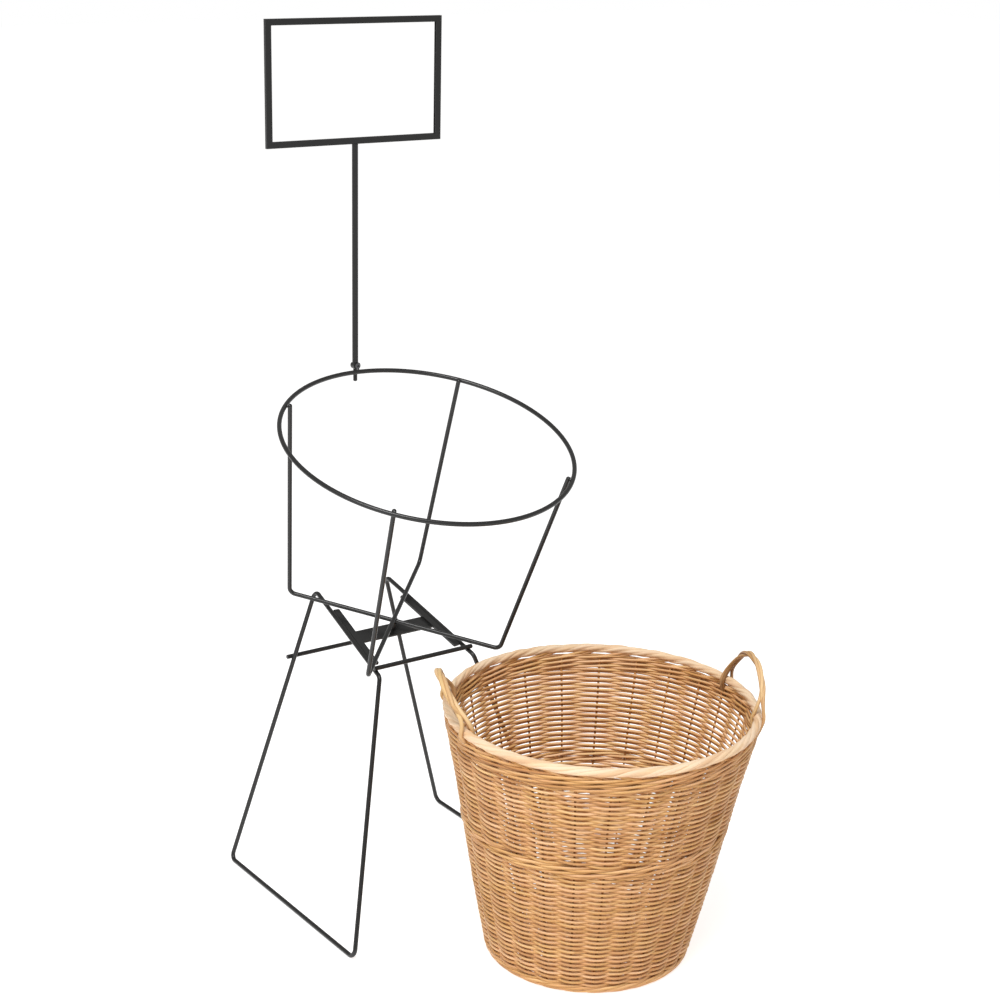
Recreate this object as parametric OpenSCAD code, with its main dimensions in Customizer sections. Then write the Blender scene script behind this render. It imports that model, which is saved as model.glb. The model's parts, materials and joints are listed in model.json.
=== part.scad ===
// Wire display stand for a wicker basket, with a card frame on a post.
// Two leaning wire leg frames and two cross rods form the base. A ring on two
// crossed wires is the cradle, held on the base by one central screw. A post
// plugs into a socket at the back of the ring and carries the card frame. The
// round willow basket stands on the floor in front of the stand.
// Millimetres. +Z is up, -Y is the front. The origin is on the floor, at the
// middle of the whole outline. Each piece is drawn in stand coordinates first,
// with x = 0 in the stand's mid plane and y = 0 at the back floor corners.

/* [Base] */
// Diameter of the steel wire of legs, cross rods, cradle and ring
wire_d = 6; // [4:0.5:8]
// Radius of every bend, measured on the wire's centre line
bend_r = 9; // [7:0.5:14]
// Sideways distance from the mid plane to each floor wire
floor_half = 172.5; // [150:1:200]
// Length of each floor wire between its two corners
floor_len = 331.5; // [290:1:370]
// Inward lean of each leg frame, in degrees
lean = 16.6; // [12:0.2:19]
// How far the top back corner stands in front of the floor corner
top_back_y = -39; // [-60:1:-20]
// Height of the top back corner
top_back_z = 392; // [370:1:420]
// How far the top front corner stands in front of the floor corner
top_front_y = -232.5; // [-250:1:-215]
// Forward tilt of the leg tops, the bracket and the cradle, in degrees
tilt = 16.5; // [12:0.5:20]
// Height of the back cross rod
back_rod_z = 296.5; // [240:1:330]
// How far each end of the back rod stands out past its leg
back_rod_out = 5; // [1:0.5:12]
// Place of the front cross rod along the top wires, in front of the screw
front_rod_run = 78; // [70:0.5:80]
// How far each end of the front rod stands out past its wire
front_rod_out = 1; // [0.5:0.5:8]

/* [Bracket] */
// Front to back place of the screw axis, where it meets the leg tops
screw_y = -147; // [-160:1:-135]
// Length of each flat strip beside the top wires
strip_len = 125; // [90:1:130]
// Width of each flat strip
strip_w = 9; // [6:0.5:12]
// Thickness of strips and centre plate
strip_t = 3; // [2:0.5:4]
// Front to back width of the centre plate
plate_w = 24; // [18:1:40]
// Corner radius of strips and plate
strip_corner = 1.5; // [0.5:0.5:3]

/* [Cradle] */
// Diameter of the ring, on the wire's centre line
ring_d = 380; // [350:2:396]
// Height of the ring above the leg tops, square to the tilt
ring_rise = 290; // [250:1:320]
// Distance from the screw axis to each bottom corner of a cradle wire
cradle_foot_r = 146.5; // [125:0.5:152]
// How far the cradle wires stand up above the ring's centre line
wire_end_up = 4; // [3:0.5:10]
// Clear height between the front rod and the lower cradle wire
rod_clear = 0.4; // [0.3:0.1:1]
// Diameter of the threaded boss under the crossing
boss_d = 8; // [7.5:0.5:12]
// Diameter of the central screw
screw_d = 5; // [4:0.5:5.5]
// Depth that the central screw reaches into the boss
screw_grip = 8; // [5:0.5:9]
// Width of the hexagon head across its corners
screw_head_w = 9; // [8:0.5:11]
// Height of the hexagon head
screw_head_h = 3.5; // [2.5:0.5:5]
// Diameter of the washer
washer_d = 10.5; // [9.5:0.5:14]
// Thickness of the washer
washer_t = 1; // [0.6:0.2:2]

/* [Post and socket] */
// Sideways place of the post, from the stand's mid plane
post_x = 6; // [-10:1:10]
// Diameter of the post
post_d = 8; // [7:0.5:10]
// Diameter of the reduced pin under the post
pin_d = 5.5; // [4.5:0.5:6]
// How far the pin reaches below the ring's centre line
pin_drop = 13.5; // [8:0.5:20]
// Diameter of the socket that is welded on the ring
socket_d = 10.5; // [9.5:0.5:14]
// Metal of the socket in front of the pin
socket_front = 2.2; // [1.6:0.2:5]
// Metal of the socket behind the pin
socket_back = 1; // [0.8:0.2:3]
// Width of the flat seat on top of the socket
seat_w = 7.6; // [6:0.2:8.6]
// Diameter of the clamping screw's shank
clamp_d = 4; // [3:0.5:5]
// Diameter of the clamping screw's head
clamp_head_d = 8; // [6:0.5:9]
// Thickness of the clamping screw's head
clamp_head_t = 2; // [1.6:0.2:4]
// Width of the hexagon socket in the clamping screw, across its corners
clamp_key = 3; // [2:0.5:4]

/* [Card frame] */
// Height of the top of the card frame above the floor
total_h = 1154; // [1000:1:1300]
// Turn of the card frame about its post, in degrees
sign_yaw = -2.5; // [-20:0.5:20]
// Outside width of the card frame
card_w = 255; // [180:1:320]
// Outside height of the card frame
card_h = 160; // [120:1:220]
// Width of each rail, seen from the front
rail_w = 8; // [6:0.5:12]
// Depth of each rail, from front to back
rail_t = 5; // [4.5:0.5:8]
// Width of the groove that holds the card
groove_w = 2.4; // [1:0.1:3]
// Metal left behind the groove
groove_back = 1.4; // [1:0.2:2.5]

/* [Basket] */
// Clear distance between the basket's wales and the right front leg
leg_clear = 1.4; // [1:0.1:60]
// Direction from the basket's centre to that leg's foot, in degrees from straight back
leg_dir = 26.47; // [5:0.05:40]
// Height of the basket without its handles
basket_h = 339; // [300:1:340]
// Outer radius of the side at the foot
foot_r = 134; // [110:1:136]
// Outer radius of the side under the border
side_r = 199; // [170:0.5:202]
// Thickness of the basket's wall at the wales
side_t = 8; // [6:0.5:10]
// Thickness of the woven side where the rods pass a stake
weave_t = 6.4; // [5:0.2:8]
// How far each face of the woven side falls back between two stakes
weave_dip = 1.8; // [1:0.1:2.2]
// Number of upright stakes
stakes = 26; // [20:1:32]
// Direction of the first stake, in degrees from +X
stake_dir = -14.5; // [-20:0.5:20]
// How far the stakes' spacing drifts round the basket, in degrees
stake_drift = 5; // [0:0.5:6]
// Height of the foot wale
foot_h = 12; // [9:0.5:18]
// Height of the middle wale's lower edge
mid_wale_z = 181; // [120:1:210]
// Height of the middle wale
mid_wale_h = 14; // [9:0.5:18]
// Height of the wale under the border
top_wale_h = 13; // [9:0.5:18]
// How far the rods of a wale stand out of the side
wale_out = 1.2; // [0.5:0.1:2]
// Number of rods in a wale
wale_rows = 3; // [2:1:4]
// Thickness of the rolled border
border_d = 12; // [9:0.5:15]
// Thickness of the woven base
base_t = 7; // [5:0.5:12]
// How far the woven base stays off the floor
base_up = 1.2; // [0.5:0.1:3]
// Direction of the right handle, in degrees from +X
handle_dir = -25; // [-40:1:0]
// Distance between the two feet of a handle
handle_span = 130; // [90:1:140]
// Height of a handle above the border's centre line
handle_rise = 58; // [50:1:80]
// How far the right handle leans out, in degrees
lean_right = 3; // [0:1:30]
// How far the left handle leans out, in degrees
lean_left = 22; // [0:1:30]
// Thickness of the handle rope
rope_d = 8; // [7:0.5:13]
// Thickness of the strands that straddle the border
strand_d = 4.6; // [3.6:0.2:6]

/* [Clearances] */
// Gap between two pieces that are welded or lashed together
weld_gap = 0.1; // [0.05:0.05:0.2]
// Gap between a turning pin or screw and its hole, on the radius
run_gap = 0.05; // [0.03:0.01:0.09]
// Gap between the central screw and the plate, on the radius
plate_gap = 0.25; // [0.2:0.05:0.5]
// Space left in the boss over the tip of the central screw
bore_end_gap = 0.5; // [0.2:0.1:1]
// Gap between the ring and the pin behind it
pin_ring_gap = 0.3; // [0.2:0.1:1]
// Gap between the clamping screw's tip and the pin
tip_gap = 0.1; // [0.05:0.05:0.3]

/* [Hidden] */
$fn = 64;

wire_r = wire_d / 2;
// Each straight reaches this far into a bend, and is this much thinner
bend_lap = 0.4;
bend_step = 0.015;
// Cutting shapes reach this far past the faces that they cut
past = 1;
// Points of the weave's outline for each stake
weave_steps = 8;
// Parts of one turned piece reach this far into each other
lap = 0.5;
steel = [0.22, 0.22, 0.23];
plated = [0.3, 0.3, 0.31];
willow = [0.82, 0.6, 0.37];
peeled = [0.9, 0.78, 0.62];

// Leg frames: heights of the top front corner, and both top corners measured
// along the leaning plane of the frame.
top_front_z = top_back_z - (top_back_y - top_front_y) * tan(tilt);
top_back_v = (top_back_z - wire_r) / cos(lean);
top_front_v = (top_front_z - wire_r) / cos(lean);
frame_corners = [[0, 0], [-floor_len, 0], [top_front_y, top_front_v], [top_back_y, top_back_v]];

// The top wires lie in one tilted plane. Its own coordinates start where the
// screw axis meets it: x sideways, y up the slope, z square to it.
plane_z = top_back_z + (screw_y - top_back_y) * tan(tilt);
top_wire_x = floor_half - (plane_z - wire_r) * tan(lean);
toe_in = atan(sin(tilt) * tan(lean));
plate_half = top_wire_x - wire_r - weld_gap - strip_corner;

// Back cross rod: it lies behind the back legs, one wire thickness away.
back_leg_angle = atan(-top_back_y / (top_back_z - wire_r));
back_rod_y = -(back_rod_z - wire_r) * tan(back_leg_angle) + (wire_d + weld_gap) / cos(back_leg_angle);
back_rod_x = floor_half - (back_rod_z - wire_r) * tan(lean) + wire_r / cos(lean) + back_rod_out;
// Front cross rod: it lies on the top wires.
front_rod_h = wire_d + weld_gap;
front_rod_x = top_wire_x + front_rod_run * tan(toe_in) + wire_r / cos(toe_in) + front_rod_out;

// Cradle heights, square to the tilted plane
lower_wire_h = front_rod_h + wire_d + rod_clear;
upper_wire_h = lower_wire_h + wire_d + weld_gap;
plate_top_h = -strip_t / 2;
plate_low_h = plate_top_h - strip_t;
boss_top_h = lower_wire_h - wire_r - weld_gap;
ring_r = ring_d / 2;
wire_top_r = ring_r - wire_d - weld_gap;

// Back of the ring at the post, in stand coordinates, and the post above it
ring_reach = sqrt(ring_r * ring_r - post_x * post_x);
ring_back_y = screw_y + ring_reach * cos(tilt) - ring_rise * sin(tilt);
ring_back_z = plane_z + ring_reach * sin(tilt) + ring_rise * cos(tilt);
pin_y = ring_back_y + wire_r + pin_ring_gap + pin_d / 2;
pin_hole_d = pin_d + 2 * run_gap;
socket_front_y = pin_y - pin_hole_d / 2 - socket_front;
socket_len = pin_hole_d + socket_front + socket_back;
// The socket rests on the shoulder of the ring's wire.
front_off = min(max(socket_front_y - ring_back_y, 0), wire_r);
socket_z = ring_back_z + sqrt(wire_r * wire_r - front_off * front_off) + socket_d / 2 + weld_gap;
seat_z = socket_z + sqrt(socket_d * socket_d - seat_w * seat_w) / 2;
card_low_z = total_h - card_h;

// Basket levels
border_z = basket_h - border_d / 2;
top_wale_z = border_z - border_d / 2 - weld_gap - top_wale_h;
border_r = side_r - side_t / 2 + wale_out;
rim_r = border_r + border_d / 2;
saddle_r = border_d / 2 + weld_gap + strand_d / 2;
handle_half = handle_span / 2;
handle_plane_r = sqrt(border_r * border_r - handle_half * handle_half);
handle_angle = asin(handle_half / border_r);
// The foot is rounded below. The base fills the floor inside that rounding.
foot_round = foot_h * 0.7;
floor_r = foot_r - side_t - foot_round;
// The rope's arch is an arc through both feet and the top.
arch_foot_z = border_z + saddle_r;
arch_rise = handle_rise - saddle_r;
arch_r = (handle_half * handle_half + arch_rise * arch_rise) / (2 * arch_rise);
arch_half_angle = 2 * atan(arch_rise / handle_half);

// The basket stands off the foot of the right front leg, just so far that it
// is clear of the leg at every height.
leg_step = (top_front_z - foot_h) / 40;
leg_reach = max([for (z = [foot_h : leg_step : top_front_z + leg_step]) clear_reach(z)]);
basket_x = floor_half - leg_reach * sin(leg_dir);
basket_y = -floor_len - leg_reach * cos(leg_dir);

// Middle of the whole outline, which becomes the origin
x_low = -max(ring_r + wire_r, floor_half + wire_r, card_w / 2 - post_x);
foot_turn = handle_angle + strand_d / border_r * 90 / PI;
foot_x = (border_r + saddle_r) * cos(handle_dir + foot_turn) + strand_d / 2;
x_high = max(-x_low, basket_x + max(rim_r, foot_x));
y_low = basket_y - rim_r;
corner_y = bend_r + wire_r - bend_cut(frame_corners[3], frame_corners[0], frame_corners[1]);
y_high = max(corner_y, back_rod_y + wire_r, ring_back_y + wire_r, pin_y + post_d / 2);
x_mid = (x_low + x_high) / 2;
y_mid = (y_low + y_high) / 2;

// Radius of the side at a height between the foot and the border
function side_radius(z) = foot_r + (side_r - foot_r) * (z - foot_h) / (top_wale_z + top_wale_h - foot_h);
function unit(v) = v / norm(v);

// How far the basket has to stand from the leg's foot to clear the leg at a height
function clear_reach(z) =
    let (share = (z - wire_r) / (top_front_z - wire_r),
        across = (z - wire_r) * tan(lean),
        back = -share * (top_front_y + floor_len),
        along = across * sin(leg_dir) + back * cos(leg_dir),
        side = across * cos(leg_dir) - back * sin(leg_dir),
        apart = side_radius(z) + wale_out + wire_r + leg_clear)
    along + sqrt(max(apart * apart - side * side, 0));

module placed() {
    translate([-x_mid, -y_mid, 0]) children();
}

// Coordinates of the tilted plane of the leg tops
module tilted() {
    placed() translate([0, screw_y, plane_z]) rotate([tilt, 0, 0]) children();
}

module at_basket() {
    placed() translate([basket_x, basket_y, 0]) children();
}

// Straight length of wire, a hair thinner than the bends so that it ends
// inside them. With a dome, its far end is rounded instead.
module straight_wire(from, to, dome = false) {
    run = to - from;
    long = norm(run);
    thin_r = wire_r - bend_step;
    translate([from[0], from[1], 0])
        rotate([0, 0, atan2(run[1], run[0])])
            rotate([0, 90, 0]) rotate_extrude() {
                translate([0, -bend_lap]) square([thin_r, long + (dome ? 1 : 2) * bend_lap]);
                if (dome) intersection() {
                    translate([0, long]) circle(r = thin_r);
                    translate([0, long - bend_lap]) square([thin_r, thin_r + past]);
                }
            }
}

// Round bend at corner b of a wire that runs from a over b to c
module wire_bend(a, b, c) {
    into = unit(b - a);
    out = unit(c - b);
    turn = atan2(into[0] * out[1] - into[1] * out[0], into * out);
    side = turn > 0 ? 1 : -1;
    centre = b - into * bend_cut(a, b, c) + side * bend_r * [-into[1], into[0]];
    first = side > 0 ? into : -out;
    translate([centre[0], centre[1], 0])
        rotate([0, 0, atan2(first[1], first[0]) - 90])
            rotate_extrude(angle = abs(turn)) translate([bend_r, 0]) circle(d = wire_d);
}

// Length that a bend takes off each of its two straights
function bend_cut(a, b, c) =
    let (into = unit(b - a), out = unit(c - b))
    bend_r * tan(acos(into * out) / 2);

// Closed wire loop with a bend at every corner
module wire_loop(pts) {
    n = len(pts);
    for (i = [0 : n - 1]) {
        a = pts[(i + n - 1) % n];
        b = pts[i];
        c = pts[(i + 1) % n];
        d = pts[(i + 2) % n];
        wire_bend(a, b, c);
        straight_wire(b + unit(c - b) * bend_cut(a, b, c), c - unit(c - b) * bend_cut(b, c, d));
    }
}

// Round rod along X with slightly broken end edges
module cross_rod(half) {
    edge = wire_d / 12;
    rotate([0, 90, 0]) {
        translate([0, 0, -half + edge]) cylinder(d = wire_d, h = 2 * (half - edge));
        for (s = [-1, 1]) rod_end(s, half, edge);
    }
}

module rod_end(s, half, edge) {
    rotate([s > 0 ? 0 : 180, 0, 0])
        translate([0, 0, half - edge]) cylinder(d1 = wire_d, d2 = wire_d - 2 * edge, h = edge);
}

// Flat bar with rounded corners, centred, with its top face at z = 0
module flat_bar(width, length, thick) {
    translate([0, 0, -thick]) linear_extrude(thick) {
        square([width - 2 * strip_corner, length], center = true);
        square([width, length - 2 * strip_corner], center = true);
        for (sx = [-1, 1], sy = [-1, 1])
            translate([sx * (width / 2 - strip_corner), sy * (length / 2 - strip_corner)])
                circle(r = strip_corner);
    }
}

module leg_frame_right() {
    color(steel) placed()
        translate([floor_half, 0, wire_r]) rotate([0, -lean, 0]) rotate([90, 0, 90])
            wire_loop(frame_corners);
}

module leg_frame_left() {
    color(steel) placed() mirror([1, 0, 0])
        translate([floor_half, 0, wire_r]) rotate([0, -lean, 0]) rotate([90, 0, 90])
            wire_loop(frame_corners);
}

module cross_rod_back() {
    color(steel) placed() translate([0, back_rod_y, back_rod_z]) cross_rod(back_rod_x);
}

module cross_rod_front() {
    color(steel) tilted() translate([0, -front_rod_run, front_rod_h]) cross_rod(front_rod_x);
}

module bracket_strip() {
    translate([top_wire_x, 0, 0]) rotate([0, 0, toe_in])
        translate([-wire_r - weld_gap - strip_w / 2, 0, strip_t / 2])
            flat_bar(strip_w, strip_len, strip_t);
}

module bracket_strip_right() {
    color(steel) tilted() bracket_strip();
}

module bracket_strip_left() {
    color(steel) tilted() mirror([1, 0, 0]) bracket_strip();
}

module centre_plate() {
    color(steel) tilted() difference() {
        translate([0, 0, plate_top_h]) flat_bar(2 * plate_half, plate_w, strip_t);
        translate([0, 0, plate_low_h - past])
            cylinder(d = screw_d + 2 * plate_gap, h = strip_t + 2 * past);
    }
}

module centre_washer() {
    color(plated) tilted() translate([0, 0, plate_low_h - washer_t]) difference() {
        cylinder(d = washer_d, h = washer_t);
        translate([0, 0, -past]) cylinder(d = screw_d + 2 * plate_gap, h = washer_t + 2 * past);
    }
}

// Hexagon head under the washer, shank up through the plate into the boss.
// A cone takes the corners off the head's lower face.
module centre_screw() {
    head_top = plate_low_h - washer_t;
    face_d = screw_head_w * 0.8;
    color(plated) tilted() {
        translate([0, 0, head_top - screw_head_h]) intersection() {
            cylinder(d = screw_head_w, h = screw_head_h, $fn = 6);
            cylinder(d1 = face_d, d2 = face_d + 4 * screw_head_h, h = screw_head_h);
        }
        translate([0, 0, head_top - lap])
            cylinder(d = screw_d, h = plate_top_h + screw_grip - head_top + lap);
    }
}

module cradle_boss() {
    color(steel) tilted() difference() {
        translate([0, 0, plate_top_h]) cylinder(d = boss_d, h = boss_top_h - plate_top_h);
        translate([0, 0, plate_top_h - past])
            cylinder(d = screw_d + 2 * run_gap, h = past + screw_grip + bore_end_gap);
    }
}

// Cradle wire: across the bottom, up both sides inside the ring, round ends.
// It is drawn upright in the XY plane with its middle at x = 0.
module cradle_wire(low) {
    slope = (wire_top_r - cradle_foot_r) / (ring_rise - low);
    end_y = ring_rise + wire_end_up - wire_r;
    end_x = cradle_foot_r + slope * (end_y - low);
    foot = [cradle_foot_r, low];
    top = [end_x, end_y];
    cut = bend_cut([0, low], foot, top);
    rotate([90, 0, 0]) {
        straight_wire([-cradle_foot_r + cut, low], [cradle_foot_r - cut, low]);
        for (s = [0, 1]) mirror([s, 0, 0]) {
            wire_bend([0, low], foot, top);
            straight_wire(foot + unit(top - foot) * cut, top, dome = true);
        }
    }
}

module cradle_wire_lower() {
    color(steel) tilted() rotate([0, 0, -45]) cradle_wire(lower_wire_h);
}

module cradle_wire_upper() {
    color(steel) tilted() rotate([0, 0, 45]) cradle_wire(upper_wire_h);
}

module ring() {
    color(steel) tilted() translate([0, 0, ring_rise])
        rotate_extrude($fn = 96) translate([ring_r, 0]) circle(d = wire_d);
}

// Short round bar across the ring with a flat seat, a hole for the pin and a
// threaded hole for the clamping screw
module post_socket() {
    color(steel) placed() difference() {
        translate([post_x, socket_front_y, socket_z]) rotate([-90, 0, 0])
            cylinder(d = socket_d, h = socket_len);
        translate([post_x - socket_d, socket_front_y - past, seat_z])
            cube([2 * socket_d, socket_len + 2 * past, socket_d]);
        translate([post_x, pin_y, socket_z - socket_d]) cylinder(d = pin_hole_d, h = 2 * socket_d);
        translate([post_x, socket_front_y - past, socket_z]) rotate([-90, 0, 0])
            cylinder(d = clamp_d + 2 * run_gap, h = socket_front + 2 * past);
    }
}

// Round head with a hexagon socket, shank through the front of the post socket
module clamp_screw() {
    tip_y = pin_y - pin_d / 2 - tip_gap;
    key_depth = clamp_head_t * 0.6;
    color(plated) placed() translate([post_x, socket_front_y, socket_z]) rotate([-90, 0, 0])
        difference() {
            union() {
                translate([0, 0, -clamp_head_t]) cylinder(d = clamp_head_d, h = clamp_head_t);
                translate([0, 0, -lap]) cylinder(d = clamp_d, h = tip_y - socket_front_y + lap);
            }
            translate([0, 0, -clamp_head_t - past])
                cylinder(d = clamp_key, h = past + key_depth, $fn = 6);
        }
}

// Post with its reduced and chamfered pin, turned from one bar
module sign_post() {
    pin_low = ring_back_z - pin_drop;
    edge = pin_d / 6;
    color(steel) placed() translate([post_x, pin_y, 0]) {
        translate([0, 0, seat_z]) cylinder(d = post_d, h = card_low_z - seat_z);
        translate([0, 0, pin_low + edge]) cylinder(d = pin_d, h = seat_z - pin_low - edge + lap);
        translate([0, 0, pin_low]) cylinder(d1 = pin_d - 2 * edge, d2 = pin_d, h = edge);
    }
}

// One mitred rail: a channel along X whose groove opens towards +Y
module card_rail(length) {
    intersection() {
        rotate([90, 0, 90]) translate([0, 0, -length / 2]) linear_extrude(length) difference() {
            translate([0, -rail_t / 2]) square([rail_w, rail_t]);
            translate([groove_back, -groove_w / 2]) square([rail_w, groove_w]);
        }
        translate([0, 0, -rail_t]) linear_extrude(2 * rail_t)
            polygon([[-length / 2, 0], [length / 2, 0],
                [length / 2 - rail_w, rail_w], [-length / 2 + rail_w, rail_w]]);
    }
}

// Card frame coordinates: upright, centred on the frame's opening
module in_card_frame() {
    color(steel) placed() translate([post_x, pin_y, card_low_z + card_h / 2])
        rotate([0, 0, sign_yaw]) rotate([90, 0, 0]) children();
}

module card_rail_bottom() {
    in_card_frame() translate([0, -card_h / 2, 0]) card_rail(card_w);
}

module card_rail_top() {
    in_card_frame() rotate([0, 0, 180]) translate([0, -card_h / 2, 0]) card_rail(card_w);
}

module card_rail_left() {
    in_card_frame() rotate([0, 0, -90]) translate([0, -card_w / 2, 0]) card_rail(card_h);
}

module card_rail_right() {
    in_card_frame() rotate([0, 0, 90]) translate([0, -card_w / 2, 0]) card_rail(card_h);
}

// Outline of one face of the woven side, which waves in and out round the
// stakes. The middle of the weave has radius r, and out is 1 or -1.
module weave_outline(r, out) {
    count = stakes * weave_steps;
    polygon([for (i = [0 : count - 1])
        let (turn = 360 * i / count,
            angle = stake_dir + turn - stake_drift * cos(turn),
            dip = weave_dip * (1 - cos(stakes * turn)) / 2,
            face_r = r + out * (weave_t / 2 - dip))
        face_r * [cos(angle), sin(angle)]]);
}

// Solid inside one face of the woven side, between two heights
module weave_body(low, high, out) {
    low_r = side_radius(low) - side_t / 2;
    high_r = side_radius(high) - side_t / 2;
    translate([0, 0, low])
        linear_extrude(high - low, scale = high_r / low_r) weave_outline(low_r, out);
}

// Round side of the basket between two heights
module side_shell(low, high) {
    difference() {
        weave_body(low, high, 1);
        weave_body(low - past, high + past, -1);
    }
}

// Wale: rows of heavier rods that stand out on both faces of the side
module wale(low, height) {
    row = height / wale_rows;
    rotate_extrude($fn = 96) {
        polygon([[side_radius(low) - side_t, low], [side_radius(low), low],
            [side_radius(low + height), low + height],
            [side_radius(low + height) - side_t, low + height]]);
        for (i = [0 : wale_rows - 1]) {
            z = low + row * (i + 0.5);
            for (s = [0, 1])
                translate([side_radius(z) - s * side_t + (1 - 2 * s) * (wale_out - row / 2), z])
                    circle(d = row, $fn = 32);
        }
    }
}

module basket_foot_wale() {
    color(willow) at_basket() rotate_extrude($fn = 96) {
        translate([floor_r, 0]) square([side_t, foot_h]);
        translate([foot_r - side_t, foot_round]) square([side_t, foot_h - foot_round]);
        intersection() {
            translate([foot_r - foot_round, foot_round]) circle(r = foot_round);
            translate([floor_r, 0]) square([side_t + foot_round, foot_round]);
        }
    }
}

module basket_side_lower() {
    color(willow) at_basket() side_shell(foot_h, mid_wale_z);
}

module basket_middle_wale() {
    color(willow) at_basket() wale(mid_wale_z, mid_wale_h);
}

module basket_side_upper() {
    color(willow) at_basket() side_shell(mid_wale_z + mid_wale_h, top_wale_z);
}

module basket_top_wale() {
    color(willow) at_basket() wale(top_wale_z, top_wale_h);
}

module basket_border() {
    color(peeled) at_basket() translate([0, 0, border_z])
        rotate_extrude($fn = 96) translate([border_r, 0]) circle(d = border_d);
}

// Woven base, slightly raised off the floor inside the foot
module basket_base() {
    color(willow) at_basket() translate([0, 0, base_up])
        cylinder(r = floor_r - weld_gap, h = base_t, $fn = 96);
}

// Rope arch that leans out over its two feet, with strands that straddle the border
module basket_handle(lean_out) {
    color(peeled) {
        translate([handle_plane_r, 0, arch_foot_z]) rotate([0, lean_out, 0])
            translate([0, 0, arch_rise - arch_r]) rotate([90, 0, 90])
                rotate([0, 0, 90 - arch_half_angle])
                    rotate_extrude(angle = 2 * arch_half_angle)
                        translate([arch_r, 0]) circle(d = rope_d);
        for (s = [-1, 1], k = [-0.5, 0.5]) {
            swing = s * handle_angle + k * strand_d / border_r * 180 / PI;
            rotate([0, 0, swing]) translate([border_r, 0, border_z]) rotate([90, 0, 0])
                rotate_extrude(angle = 180) translate([saddle_r, 0]) circle(d = strand_d, $fn = 32);
        }
    }
}

module basket_handle_right() {
    at_basket() rotate([0, 0, handle_dir]) basket_handle(lean_right);
}

module basket_handle_left() {
    at_basket() rotate([0, 0, handle_dir + 180]) basket_handle(lean_left);
}

leg_frame_left();
leg_frame_right();
cross_rod_back();
cross_rod_front();
bracket_strip_left();
bracket_strip_right();
centre_plate();
centre_washer();
centre_screw();
cradle_boss();
cradle_wire_lower();
cradle_wire_upper();
ring();
post_socket();
clamp_screw();
sign_post();
card_rail_bottom();
card_rail_top();
card_rail_left();
card_rail_right();
basket_base();
basket_foot_wale();
basket_side_lower();
basket_middle_wale();
basket_side_upper();
basket_top_wale();
basket_border();
basket_handle_left();
basket_handle_right();
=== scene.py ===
# Looks of the basket display stand: a basket woven rod by rod, powder-coated wire
# with weld beads, and a white studio. Metres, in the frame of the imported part.
import bmesh
import bpy
import json
import math
import numpy as np
from mathutils import Matrix, Vector
from mathutils.bvhtree import BVHTree

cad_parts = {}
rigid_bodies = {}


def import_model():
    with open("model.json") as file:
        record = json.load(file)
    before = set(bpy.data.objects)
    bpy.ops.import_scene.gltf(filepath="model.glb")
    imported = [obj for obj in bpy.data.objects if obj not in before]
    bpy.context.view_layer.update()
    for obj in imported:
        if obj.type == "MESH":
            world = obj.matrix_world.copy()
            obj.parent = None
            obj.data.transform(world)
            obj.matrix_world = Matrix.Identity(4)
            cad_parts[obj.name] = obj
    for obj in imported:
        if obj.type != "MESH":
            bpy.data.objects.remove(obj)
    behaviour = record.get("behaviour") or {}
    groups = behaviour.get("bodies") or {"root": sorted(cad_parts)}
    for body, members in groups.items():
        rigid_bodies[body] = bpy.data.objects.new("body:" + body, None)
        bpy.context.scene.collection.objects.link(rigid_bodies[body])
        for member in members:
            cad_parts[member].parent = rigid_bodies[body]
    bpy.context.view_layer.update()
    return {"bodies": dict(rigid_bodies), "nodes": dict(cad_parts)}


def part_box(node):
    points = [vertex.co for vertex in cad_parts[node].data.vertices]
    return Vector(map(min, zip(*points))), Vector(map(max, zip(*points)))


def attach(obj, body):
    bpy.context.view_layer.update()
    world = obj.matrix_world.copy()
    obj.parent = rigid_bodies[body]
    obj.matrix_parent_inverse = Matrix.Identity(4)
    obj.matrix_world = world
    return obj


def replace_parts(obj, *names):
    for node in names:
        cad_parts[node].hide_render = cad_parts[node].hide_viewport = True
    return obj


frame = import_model()

MM = 0.001
TAU = 2 * math.pi
rng = np.random.default_rng(7)


# Levels and radii of the basket, read from the frame
def extent(node):
    lo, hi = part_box(node)
    return Vector(lo), Vector(hi)


border_lo, border_hi = extent("basket_border")
foot_lo, foot_hi = extent("basket_foot_wale")
mid_lo, mid_hi = extent("basket_middle_wale")
_, top_hi = extent("basket_top_wale")
base_lo, base_hi = extent("basket_base")
CENTRE = (border_lo + border_hi) / 2
BORDER_TUBE = (border_hi.z - border_lo.z) / 2
BORDER_R = (border_hi.x - border_lo.x) / 2 - BORDER_TUBE
BORDER_Z = CENTRE.z
FOOT_R = (foot_hi.x - foot_lo.x) / 2
FOOT_H = foot_hi.z
TOP_Z = top_hi.z
SIDE_T = 8 * MM
# The middle of the border stands this far outside the middle of the wall
WALE_OUT = 1.2 * MM
SLOPE = (BORDER_R - WALE_OUT - (FOOT_R - SIDE_T / 2)) / (TOP_Z - FOOT_H)
LEAN = math.atan(SLOPE)

# Weave, with the stakes where the part's source has them
STAKES = 26
STEP = TAU / STAKES
STAKE_DIR = math.radians(-14.5)
STAKE_DRIFT = math.radians(5)
STAKE_R = 1.35 * MM
ROW = 3.35 * MM
ROD_R = 1.84 * MM
SWING = 2.75 * MM
# Points of a row from one stake to the next
PER_STAKE = 14

# Wales: rounds of three rods
WALE_RODS = 3
WALE_ROW = 7 * MM
WALE_ROD_R = 1.78 * MM
WALE_SWING = 3.2 * MM
# Share of the second wave, which keeps a rod outside over two stakes
WALE_HOLD = 0.22
# How far the rods of a round climb past each other, in rows
WALE_RISE = 0.29
FOOT_RISE = 0.28
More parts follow.
